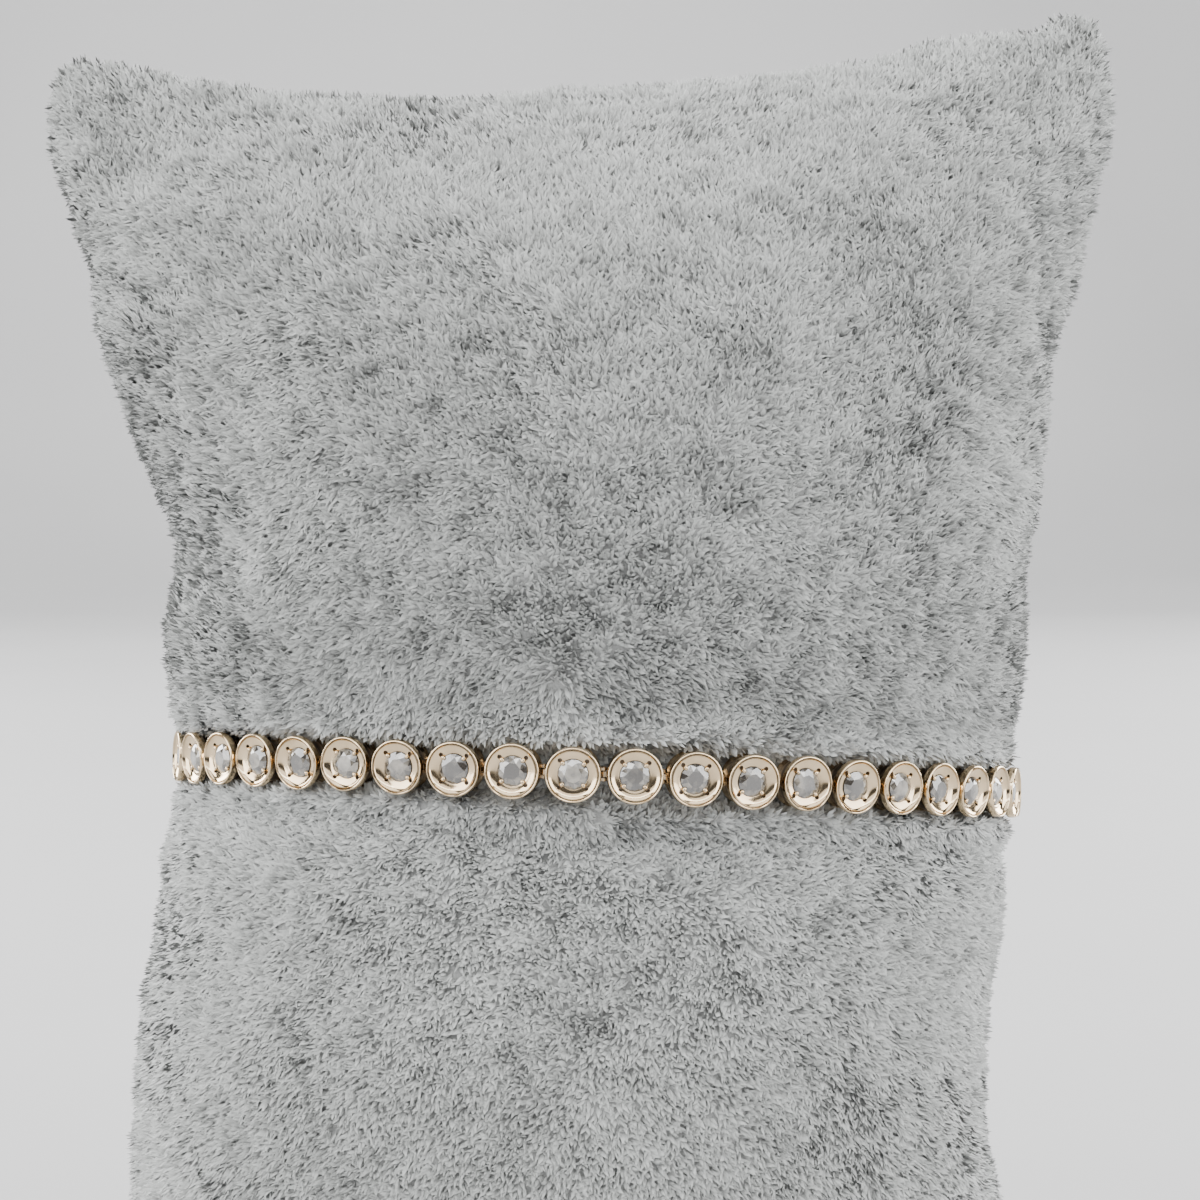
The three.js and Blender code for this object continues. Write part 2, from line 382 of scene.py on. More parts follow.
def turned(profile: Profile, steps: int) -> bmesh.types.BMesh:
    """Spins a profile about Z into a closed shape.

    Args:
        profile: Rows of (radius, height). Its ends lie on the axis.
        steps: The number of steps round.

    Returns:
        The shape, with its faces pointing out.
    """
    shape = bmesh.new()
    points = [shape.verts.new((radius, 0.0, height)) for radius, height in profile]
    lines = [shape.edges.new(pair) for pair in zip(points, points[1:])]
    bmesh.ops.spin(
        shape,
        geom=points + lines,
        cent=(0, 0, 0),
        axis=(0, 0, 1),
        dvec=(0, 0, 0),
        angle=2 * math.pi,
        steps=steps,
        use_merge=True,
    )
    bmesh.ops.remove_doubles(shape, verts=shape.verts, dist=1e-4)
    bmesh.ops.recalc_face_normals(shape, faces=shape.faces)
    return shape


def plate(outline: list[tuple[float, float]], low: float, high: float) -> bmesh.types.BMesh:
    """Extrudes an outline in X and Z along Y.

    Args:
        outline: Corners as (x, z), in order.
        low: Where it starts on Y.
        high: Where it ends on Y.

    Returns:
        The closed plate.
    """
    shape = bmesh.new()
    corners = [shape.verts.new((x, low, z)) for x, z in outline]
    face = shape.faces.new(corners)
    pushed = bmesh.ops.extrude_face_region(shape, geom=[face])["geom"]
    risen = [item for item in pushed if isinstance(item, bmesh.types.BMVert)]
    bmesh.ops.translate(shape, verts=risen, vec=(0, high - low, 0))
    shape.faces.new(reversed(corners)) if not face.is_valid else None
    bmesh.ops.recalc_face_normals(shape, faces=shape.faces)
    return shape


def rod(radius: float, length: float, middle: Vector, along: Vector, sides: int = 16) -> bmesh.types.BMesh:
    """A straight round bar.

    Args:
        radius: Its radius.
        length: Its length.
        middle: The middle of its length.
        along: Its direction.
        sides: The number of sides.

    Returns:
        The closed bar.
    """
    shape = bmesh.new()
    turn = along.to_track_quat("Z", "Y").to_matrix().to_4x4()
    bmesh.ops.create_cone(
        shape,
        cap_ends=True,
        segments=sides,
        radius1=radius,
        radius2=radius,
        depth=length,
        matrix=Matrix.Translation(middle) @ turn,
    )
    return shape


def as_object(name: str, shape: bmesh.types.BMesh) -> bpy.types.Object:
    """Turns a shape into an object of the scene, and frees the shape."""
    mesh = bpy.data.meshes.new(name)
    shape.to_mesh(mesh)
    shape.free()
    made = bpy.data.objects.new(name, mesh)
    bpy.context.scene.collection.objects.link(made)
    return made


def cut(base: bpy.types.Object, shape: bmesh.types.BMesh) -> bpy.types.Object:
    """Cuts a shape out of an object.

    Args:
        base: The object, whose mesh is replaced.
        shape: The closed shape, which is freed.

    Returns:
        The base.
    """
    cutter = as_object("cutter", shape)
    modifier = base.modifiers.new("cut", "BOOLEAN")
    modifier.operation = "DIFFERENCE"
    modifier.solver = "EXACT"
    modifier.object = cutter
    applied(base)
    bpy.data.objects.remove(cutter)
    return base


def soldered(base: bpy.types.Object, other: bmesh.types.BMesh) -> bpy.types.Object:
    """Adds a closed shape to an object, where it sinks into it or lies on it.

    Args:
        base: The object, whose mesh takes the shape.
        other: The shape, which is freed.

    Returns:
        The base.
    """
    part = bpy.data.meshes.new("part")
    other.to_mesh(part)
    other.free()
    whole = bmesh.new()
    whole.from_mesh(base.data)
    whole.from_mesh(part)
    whole.to_mesh(base.data)
    whole.free()
    bpy.data.meshes.remove(part)
    return base


def applied(piece: bpy.types.Object) -> bpy.types.Object:
    """Puts the result of a piece's modifiers in its mesh."""
    bpy.context.view_layer.update()
    seen = piece.evaluated_get(bpy.context.evaluated_depsgraph_get())
    mesh = bpy.data.meshes.new_from_object(seen)
    piece.modifiers.clear()
    old = piece.data
    piece.data = mesh
    bpy.data.meshes.remove(old)
    return piece


def shaded(mesh: bpy.types.Mesh, shade: Shade) -> None:
    """Sets how a mesh's faces meet in the light."""
    if shade is Shade.BY_ANGLE:
        mesh.shade_smooth()
        mesh.set_sharp_from_angle(angle=math.radians(38))
    elif shade is Shade.ROUND:
        mesh.shade_smooth()
    else:
        mesh.shade_flat()


def finished(piece: bpy.types.Object, material: bpy.types.Material) -> bpy.types.Object:
    """Dresses a piece, and lets it ride with the part.

    Args:
        piece: The piece.
        material: Its finish.

    Returns:
        The piece.
    """
    piece.data.materials.clear()
    piece.data.materials.append(material)
    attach(piece, BODY)
    log.info("%s: %d faces", piece.name, len(piece.data.polygons))
    return piece


def signed_power(base: float, power: float) -> float:
    """A power that keeps the sign of its base."""
    return math.copysign(abs(base) ** power, base)


@dataclass
class Loop:
    """The hinge line of the bracelet, and where its links and clasp lie on it."""

    links: int = 40
    pitch: float = 4.233
    clasp_span: float = 8.466
    ratio: float = 0.7525
    power: float = 1.77
    height: float = 53.0
    shift: float = 0.9
    front_rise: float = 0.129
    right_drop: float = 0.052
    slip: float = -0.28
    play: float = math.radians(2.5)
    play_turn: float = 2.4
    half_width: float = field(init=False)
    hinges: list[Vector] = field(init=False)

    def __post_init__(self) -> None:
        """Finds the half width at which the loop closes, and its hinges."""
        whole = self.links * self.pitch + self.clasp_span
        low, high = whole / 8, whole / 4
        for _ in range(40):
            middle = (low + high) / 2
            angles = self._walk(middle)
            if angles[0] + 2 * math.pi < angles[-1]:
                low = middle
            else:
                high = middle
        self.half_width = middle
        self.hinges = [self.point(angle, middle) for angle in self._walk(middle)]

    def slope(self, x: float, y: float) -> float:
        """How much higher the loop's plane is at x, y than at its middle."""
        return -self.right_drop * x - self.front_rise * y

    def point(self, angle: float, half_width: float) -> Vector:
        """The point of the hinge line at an angle, for a loop of that half width."""
        x = half_width * signed_power(math.cos(angle), 2 / self.power)
        y = half_width * self.ratio * signed_power(math.sin(angle), 2 / self.power)
        return Vector((self.shift + x, y, self.height + self.slope(x, y)))

    def _walk(self, half_width: float) -> list[float]:
        """The hinges' angles, one straight step for each link and one for the clasp."""
        first = self.clasp_span / 2 + self.slip * self.pitch
        angles = [math.pi - math.acos((first / half_width) ** (self.power / 2))]
        for step in range(self.links + 1):
            span = self.pitch if step < self.links else self.clasp_span
            start = self.point(angles[-1], half_width)
            low, high = angles[-1], angles[-1] + math.pi / 2
            for _ in range(34):
                middle = (low + high) / 2
                if (self.point(middle, half_width) - start).length < span:
                    low = middle
                else:
                    high = middle
            angles.append(middle)
        return angles

    def seat(self, start: Vector, end: Vector, lean: float = 0.0) -> Matrix:
        """The place of a piece between two hinges, in metres: X along them and Z outwards."""
        along = (end - start).normalized()
        out = along.cross(Vector((0, 0, 1))).normalized()
        up = out.cross(along)
        turn = Matrix((along, up, out)).transposed().to_4x4()
        place = Matrix.Translation((start + end) / 2) @ turn @ Matrix.Rotation(lean, 4, "X")
        return Matrix.Scale(MM, 4) @ place

    def link_seats(self) -> list[Matrix]:
        """The places of all the links, in order from the clasp."""
        return [
            self.seat(self.hinges[i], self.hinges[i + 1], self.play * math.sin(self.play_turn * i))
            for i in range(self.links)
        ]

    def clasp_seat(self) -> Matrix:
        """The place of the clasp."""
        return self.seat(self.hinges[self.links], self.hinges[0])

    def outside(self, x: float, y: float) -> float:
        """About how far a point lies outside the hinge line, seen from above."""
        across = abs(x - self.shift) / self.half_width
        deep = abs(y) / (self.half_width * self.ratio)
        share = (across**self.power + deep**self.power) ** (1 / self.power)
        return (share - 1) * math.hypot(x - self.shift, y) / max(share, 1e-6)

    def above(self, x: float, y: float, z: float) -> float:
        """How far a point lies above the loop's plane."""
        return z - self.height - self.slope(x - self.shift, y)


@dataclass
class Hinge:
    """The ears with their pin on one end of a piece, and the tongue with its eye on the other."""

    pin_radius: float = 0.15
    eye_clearance: float = 0.1
    eye_wall: float = 0.13
    tongue_height: float = 0.36
    ear_thick: float = 0.19
    ear_radius: float = 0.27
    head_radius: float = 0.19
    head_height: float = 0.05
    root: float = 0.16

    def _nose(self, root_x: float, hinge_x: float, radius: float) -> list[tuple[float, float]]:
        """An outline from a straight root to a round end about the hinge."""
        side = math.copysign(1.0, hinge_x - root_x)
        turn = [math.pi * (step / 10 - 0.5) for step in range(11)]
        end = [(hinge_x + side * radius * math.cos(a), radius * math.sin(a)) for a in turn]
        return [(root_x, -radius), *end, (root_x, radius)]

    def add_to(self, base: bpy.types.Object, wall: float, reach: float) -> bpy.types.Object:
        """Joins both ends of the hinge to a piece.

        Args:
            base: The cup or the clasp.
            wall: How far its walls lie from its middle, at the hinge's height.
            reach: How far its hinges lie from its middle.

        Returns:
            The piece with its hinge parts.
        """
        gap = self.tongue_height / 2 + self.eye_clearance
        eye = self.pin_radius + self.eye_clearance
        start = wall - self.root
        for side in (-1, 1):
            low, high = sorted((side * gap, side * (gap + self.ear_thick)))
            soldered(base, plate(self._nose(start, reach, self.ear_radius), low, high))
        pin_length = 2 * (gap + self.ear_thick + self.head_height)
        up = Vector((0, 1, 0))
        hinge = Vector((reach, 0, 0))
        soldered(base, rod(self.pin_radius, pin_length, hinge, up))
        for side in (-1, 1):
            middle = hinge + up * side * (gap + self.ear_thick + self.head_height / 2)
            soldered(base, rod(self.head_radius, self.head_height, middle, up))
        half = self.tongue_height / 2
        tongue = as_object("tongue", plate(self._nose(-start, -reach, eye + self.eye_wall), -half, half))
        cut(tongue, rod(eye, 2 * self.tongue_height, -hinge, up))
        eyed = bmesh.new()
        eyed.from_mesh(tongue.data)
        bpy.data.objects.remove(tongue)
        return soldered(base, eyed)


@dataclass
class Cup:
    """A link's cup: a raised rim, a polished dish with four beads, a waist and a gallery ring behind."""

    steps: int = 40
    face: float = 1.25
    rim_radius: float = 2.0
    waist: float = 1.55
    gallery: float = 1.85
    gallery_back: float = -0.9
    seat_radius: float = 1.1
    seat_height: float = 0.8
    hole_place: float = 1.36
    hole_radius: float = 0.17
    hole_floor: float = 0.5
    bead_place: float = 1.08
    bead_radius: float = 0.16
    bead_height: float = 0.92
    hinge: Hinge = field(default_factory=Hinge)

    def profile(self) -> Profile:
        """The cup's section, from the bottom of the stone's seat round to the hollow behind."""
        face, rim = self.face, self.rim_radius
        back = self.gallery_back
        return [
            (0.0, 0.2),
            (0.2, 0.2),
            (self.seat_radius - 0.03, self.seat_height - 0.03),
            (self.seat_radius + 0.03, self.seat_height),
            (1.28, self.seat_height + 0.015),
            (1.43, self.seat_height + 0.045),
            (1.56, self.seat_height + 0.095),
            (1.67, self.seat_height + 0.165),
            (1.76, self.seat_height + 0.25),
            (1.82, self.seat_height + 0.335),
            (rim - 0.16, face - 0.04),
            (rim - 0.145, face),
            (rim - 0.115, face + 0.018),
            (rim - 0.08, face + 0.01),
            (rim - 0.045, face - 0.02),
            (rim - 0.025, face - 0.07),
            (rim - 0.005, face - 0.38),
            (rim, face - 0.46),
            (rim - 0.02, face - 0.52),
            (rim - 0.24, face - 0.82),
            (self.waist + 0.06, 0.16),
            (self.waist, 0.0),
            (self.waist + 0.04, -0.16),
            (self.gallery - 0.12, -0.46),
            (self.gallery - 0.02, -0.58),
            (self.gallery, -0.68),
            (self.gallery - 0.01, back + 0.08),
            (self.gallery - 0.06, back),
            (self.gallery - 0.34, back),
            (self.gallery - 0.4, back + 0.06),
            (self.waist - 0.25, 0.2),
            (0.5, -0.05),
            (0.0, -0.05),
        ]

    def build(self) -> bpy.types.Object:
        """The cup with its drilled holes and beads, centred between its hinges."""
        cup = as_object("cup", turned(self.profile(), self.steps))
        corners = [math.pi / 4 + quarter * math.pi / 2 for quarter in range(4)]
        for angle in corners:
            out = Vector((math.cos(angle), math.sin(angle), 0))
            depth = self.face - self.hole_floor
            middle = out * self.hole_place + Vector((0, 0, self.hole_floor + depth / 2))
            lean = Vector((0, 0, 1)) + out * 0.12
            cut(cup, rod(self.hole_radius, depth, middle, lean, 10))
        for angle in corners:
            out = Vector((math.cos(angle), math.sin(angle), 0))
            bead = bmesh.new()
            bmesh.ops.create_icosphere(bead, subdivisions=2, radius=self.bead_radius)
            bmesh.ops.scale(bead, vec=(1.25, 0.95, 0.8), verts=bead.verts)
            bmesh.ops.rotate(bead, cent=(0, 0, 0), matrix=Matrix.Rotation(angle, 3, "Z"), verts=bead.verts)
            bmesh.ops.translate(bead, vec=out * self.bead_place + Vector((0, 0, self.bead_height)), verts=bead.verts)
            soldered(cup, bead)
        return cup

    def recess(self, x: float, y: float, z: float) -> float:
        """How much painted shade darkens a point, from 0 to 1: the foot of the dish, the seat round the stone, the
        waist round the hinges, the drilled holes and the hollow under the seat.
        """
        radius = math.hypot(x, y)
        foot = max(0.0, 1 - abs(radius - 1.82) / 0.03) * (z > self.seat_height)
        beyond = radius > self.waist + 0.15
        waist = max(0.0, 1 - abs(z) / 0.6) * (radius > self.waist - 0.1) * (0.85 if beyond else 0.5)
        seat = max(0.0, 1 - (radius - self.seat_radius) / 0.4) * (z > self.seat_height - 0.05) * 0.22
        drilled = (abs(radius - self.hole_place) < 0.26) * max(0.0, min(1.0, (self.seat_height - 0.02 - z) / 0.12))
        inside = (radius < 1.6) * (z < self.seat_height - 0.02)
        return min(1.0, max(foot * 0.35, seat, waist, drilled, inside * 0.8))


@dataclass
class Stone:
    """A round cut stone with a table, a crown and a pavilion."""

    radius: float = 1.07
    girdle: float = 0.83
    table: float = 0.56
    crown: float = 0.25
    pavilion: float = 0.6
    girdle_half: float = 0.015

    def build(self) -> bpy.types.Object:
        """The stone, as the hull of its rings of corners."""
        shape = bmesh.new()
        rings = [
            (8, 0.0, self.table, self.crown),
            (8, 0.5, 0.8, self.crown * 0.55),
            (16, 0.0, 1.0, self.girdle_half),
            (16, 0.0, 1.0, -self.girdle_half),
            (8, 0.0, 0.3, -self.pavilion * 0.72),
            (1, 0.0, 0.0, -self.pavilion),
        ]
        for count, shift, share, height in rings:
            for step in range(count):
                angle = 2 * math.pi * (step + shift) / count
                reach = self.radius * share
                shape.verts.new((reach * math.cos(angle), reach * math.sin(angle), self.girdle + height))
        bmesh.ops.convex_hull(shape, input=shape.verts)
        bmesh.ops.dissolve_limit(shape, angle_limit=0.01, verts=shape.verts, edges=shape.edges)
        bmesh.ops.recalc_face_normals(shape, faces=shape.faces)
        return as_object("stone", shape)


@dataclass
class Bracelet:
    """All the links with their stones, and the clasp."""

    loop: Loop
    gold: bpy.types.Material
    crystal: bpy.types.Material
    cup: Cup = field(default_factory=Cup)
    stone: Stone = field(default_factory=Stone)
    clasp_size: tuple[float, float, float] = (7.066, 3.6, 1.5)
    clasp_bevel: float = 0.45
    seed: int = 7

    def build(self) -> None:
        """Makes every link, its stone and the clasp."""
        pattern = self.cup.build()
        pattern = self.cup.hinge.add_to(pattern, self.cup.waist, self.loop.pitch / 2)
        self._mark_painted_shade(pattern.data)
        shaded(pattern.data, Shade.BY_ANGLE)
        gem = self.stone.build()
        draw = random.Random(self.seed)
        for number, seat in enumerate(self.loop.link_seats(), 1):
            setting = self._copy(pattern, f"setting_{number:02d}", seat)
            finished(setting, self.gold)
            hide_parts(f"link_{number:02d}")
            turn = Matrix.Rotation(draw.uniform(0, math.pi / 4), 4, "Z")
            jewel = self._copy(gem, f"stone_{number:02d}", seat @ turn)
            self._paint_facet_light(jewel.data, draw)
            shaded(jewel.data, Shade.FLAT)
            finished(jewel, self.crystal)
        bpy.data.objects.remove(pattern)
        bpy.data.objects.remove(gem)
        self._build_clasp()

    @staticmethod
    def _copy(pattern: bpy.types.Object, name: str, place: Matrix) -> bpy.types.Object:
        """A copy of a pattern with its place in its mesh."""
        made = bpy.data.objects.new(name, pattern.data.copy())
        made.data.transform(place)
        bpy.context.scene.collection.objects.link(made)
        return made

    def _mark_painted_shade(self, mesh: bpy.types.Mesh) -> None:
        """Writes the painted shade of the cup's recesses to its points."""
        mark = mesh.attributes.new("recess", "FLOAT", "POINT")
        mark.data.foreach_set("value", [self.cup.recess(*point.co) for point in mesh.vertices])

    @staticmethod
    def _paint_facet_light(mesh: bpy.types.Mesh, draw: random.Random) -> None:
        """Gives each facet a painted reflection: a random brightness of its own, with a random tone for the whole
        stone.
        """
        mark = mesh.attributes.new("facet", "FLOAT", "FACE")
        tone = draw.uniform(-0.4, 0.2)
        mark.data.foreach_set("value", [tone + draw.random() for _ in mesh.polygons])

    def _build_clasp(self) -> None:
        """Makes the plain clasp at the back."""
        shape = bmesh.new()
        bmesh.ops.create_cube(shape, size=1.0)
        bmesh.ops.scale(shape, vec=self.clasp_size, verts=shape.verts)
        bmesh.ops.bevel(
            shape,
            geom=shape.edges[:],
            offset=self.clasp_bevel / 2,
            segments=4,
            profile=0.5,
            affect="EDGES",
            material=-1,
        )
        clasp = as_object("clasp_box", shape)
        half = self.clasp_size[0] / 2
        self.cup.hinge.add_to(clasp, half, self.loop.clasp_span / 2)
        clasp.data.transform(self.loop.clasp_seat())
        shaded(clasp.data, Shade.BY_ANGLE)
        finished(clasp, self.gold)
        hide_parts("clasp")


@dataclass
class Tuft:
    """One tuft of pile: a small leaf folded along its middle, which leans along X with its root in the cloth."""

    length: float = 0.98
    width: float = 0.33
    widest: float = 0.55
    fold: float = 0.12
    rise: float = 0.55
    sunk: float = 0.12

    def build(self) -> bpy.types.Object:
        """The leaf, with its share of the way along at each point."""
        shape = bmesh.new()
        along = shape.verts.layers.float.new("along")
        corners = []
        for share, side in ((0.0, 0), (self.widest, -1), (1.0, 0), (self.widest, 1)):
            height = share * self.rise - self.sunk - abs(side) * self.fold
            corner = shape.verts.new((share * self.length, side * self.width / 2, height))
            corner[along] = share
            corners.append(corner)
        shape.faces.new(corners)
        bmesh.ops.connect_verts(shape, verts=corners[::2])
        bmesh.ops.scale(shape, vec=(MM, MM, MM), verts=shape.verts)
        leaf = as_object("tuft", shape)
        shaded(leaf.data, Shade.ROUND)
        return leaf


@dataclass
class Pile:
    """The tufts over one stretch of the pillow, spread by geometry nodes and made real."""

    tuft: bpy.types.Object
    material: bpy.types.Material
    clump_per_mm: float = 0.6
    clump_turn: float = 1.7
    clump_tilt: float = 1.0

    def build(self, name: str, skin: bpy.types.Object, keep: Keep, per_mm2: float, seed: int) -> bpy.types.Object:
        """Grows the pile on the faces that are kept.

        Args:
            name: The new piece's name.
            skin: The pillow's skin, with nap and depth on its points.
            keep: Says of a face's middle, in millimetres, whether the pile grows there.
            per_mm2: The tufts on a square millimetre.
            seed: The seed of its draws.

        Returns:
            The piece of pile.
        """
        shape = bmesh.new()
        shape.from_mesh(skin.data)
        unwanted = [face for face in shape.faces if not keep(face.calc_center_median() / MM)]
        bmesh.ops.delete(shape, geom=unwanted, context="FACES")
        pile = as_object(name, shape)
        spread = pile.modifiers.new("spread", "NODES")
        spread.node_group = self._nodes(per_mm2, seed)
        applied(pile)
        return finished(pile, self.material)

    def _nodes(self, per_mm2: float, seed: int) -> bpy.types.NodeTree:
        """The nodes that set a tuft on each of many points."""
        tree = bpy.data.node_groups.new("pile", "GeometryNodeTree")
        tree.interface.new_socket("Geometry", in_out="INPUT", socket_type="NodeSocketGeometry")
        tree.interface.new_socket("Geometry", in_out="OUTPUT", socket_type="NodeSocketGeometry")

        def add(kind: str, settings: dict | None = None, inputs: dict | None = None) -> bpy.types.Node:
            """Adds a node with its settings and its values or links."""
            node = tree.nodes.new(kind)
            for key, value in (settings or {}).items():
                setattr(node, key, value)
            for key, value in (inputs or {}).items():
                if isinstance(value, bpy.types.NodeSocket):
                    tree.links.new(value, node.inputs[key])
                else:
                    node.inputs[key].default_value = value
            return node

        def named(name: str, kind: str) -> bpy.types.NodeSocket:
            """A number or vector that the skin holds at each point."""
            return add("GeometryNodeInputNamedAttribute", {"data_type": kind}, {"Name": name}).outputs[0]

        def drawn(low: tuple, high: tuple, offset: int) -> bpy.types.NodeSocket:
            """A random vector for each tuft."""
            inputs = {0: low, 1: high, "Seed": seed * 10 + offset}
            return add("FunctionNodeRandomValue", {"data_type": "FLOAT_VECTOR"}, inputs).outputs[0]

        source = add("NodeGroupInput")
        inputs = {"Mesh": source.outputs[0], "Density": per_mm2 / MM**2, "Seed": seed}
        points = add("GeometryNodeDistributePointsOnFaces", {}, inputs)
        place = add("GeometryNodeInputPosition").outputs[0]
        inputs = {"Vector": place, "Scale": self.clump_per_mm / MM, "Detail": 1.0}
        clump = add("ShaderNodeTexNoise", {}, inputs)
        centred = add("ShaderNodeVectorMath", {"operation": "SUBTRACT"}, {0: clump.outputs["Color"], 1: (0.5,) * 3})
        swing = (0.0, -2 * self.clump_tilt, 2 * self.clump_turn)
        curl = add("ShaderNodeVectorMath", {"operation": "MULTIPLY"}, {0: centred.outputs[0], 1: swing})
        shake = drawn((-0.5, -0.5, -1.3), (0.5, 0.05, 1.3), 1)
        turn = add("ShaderNodeVectorMath", {"operation": "ADD"}, {0: curl.outputs[0], 1: shake})
        upright = add("FunctionNodeAlignRotationToVector", {"axis": "Z"}, {"Vector": points.outputs["Normal"]})
        inputs = {"Rotation": upright.outputs[0], "Vector": named("nap", "FLOAT_VECTOR")}
        combed = add("FunctionNodeAlignRotationToVector", {"axis": "X", "pivot_axis": "Z"}, inputs)
        euler = add("FunctionNodeEulerToRotation", {}, {0: turn.outputs[0]})
        inputs = {"Rotation": combed.outputs[0], "Rotate By": euler.outputs[0]}
        ruffled = add("FunctionNodeRotateRotation", {"rotation_space": "LOCAL"}, inputs)
        size = drawn((0.65, 0.55, 0.7), (1.3, 1.35, 1.3), 2)
        inputs = {0: size, 1: named("depth", "FLOAT_VECTOR")}
        scale = add("ShaderNodeVectorMath", {"operation": "MULTIPLY"}, inputs)
        tuft = add("GeometryNodeObjectInfo", {}, {"Object": self.tuft})
        inputs = {
            "Points": points.outputs["Points"],
            "Instance": tuft.outputs["Geometry"],
            "Rotation": ruffled.outputs[0],
            "Scale": scale.outputs[0],
        }
        facing = {"Geometry": points.outputs["Points"], "Name": "facing", "Value": points.outputs["Normal"]}
        marked = add("GeometryNodeStoreNamedAttribute", {"data_type": "FLOAT_VECTOR", "domain": "POINT"}, facing)
        inputs["Points"] = marked.outputs[0]
        tufts = add("GeometryNodeInstanceOnPoints", {}, inputs)
        own = add("FunctionNodeRandomValue", {"data_type": "FLOAT"}, {"Seed": seed * 10 + 3})
        settings = {"data_type": "FLOAT", "domain": "INSTANCE"}
        inputs = {"Geometry": tufts.outputs[0], "Name": "own", "Value": own.outputs[1]}
        kept = add("GeometryNodeStoreNamedAttribute", settings, inputs)
        real = add("GeometryNodeRealizeInstances", {}, {"Geometry": kept.outputs[0]})
        axes = add("ShaderNodeSeparateXYZ", {}, {0: place})
        floor = add("ShaderNodeMath", {"operation": "MAXIMUM"}, {0: axes.outputs["Z"], 1: 0.0})
        lifted = add("ShaderNodeCombineXYZ", {}, {0: axes.outputs["X"], 1: axes.outputs["Y"], 2: floor.outputs[0]})
        clear = add("GeometryNodeSetPosition", {}, {"Geometry": real.outputs[0], "Position": lifted.outputs[0]})
        add("NodeGroupOutput", {}, {0: clear.outputs[0]})
        return tree


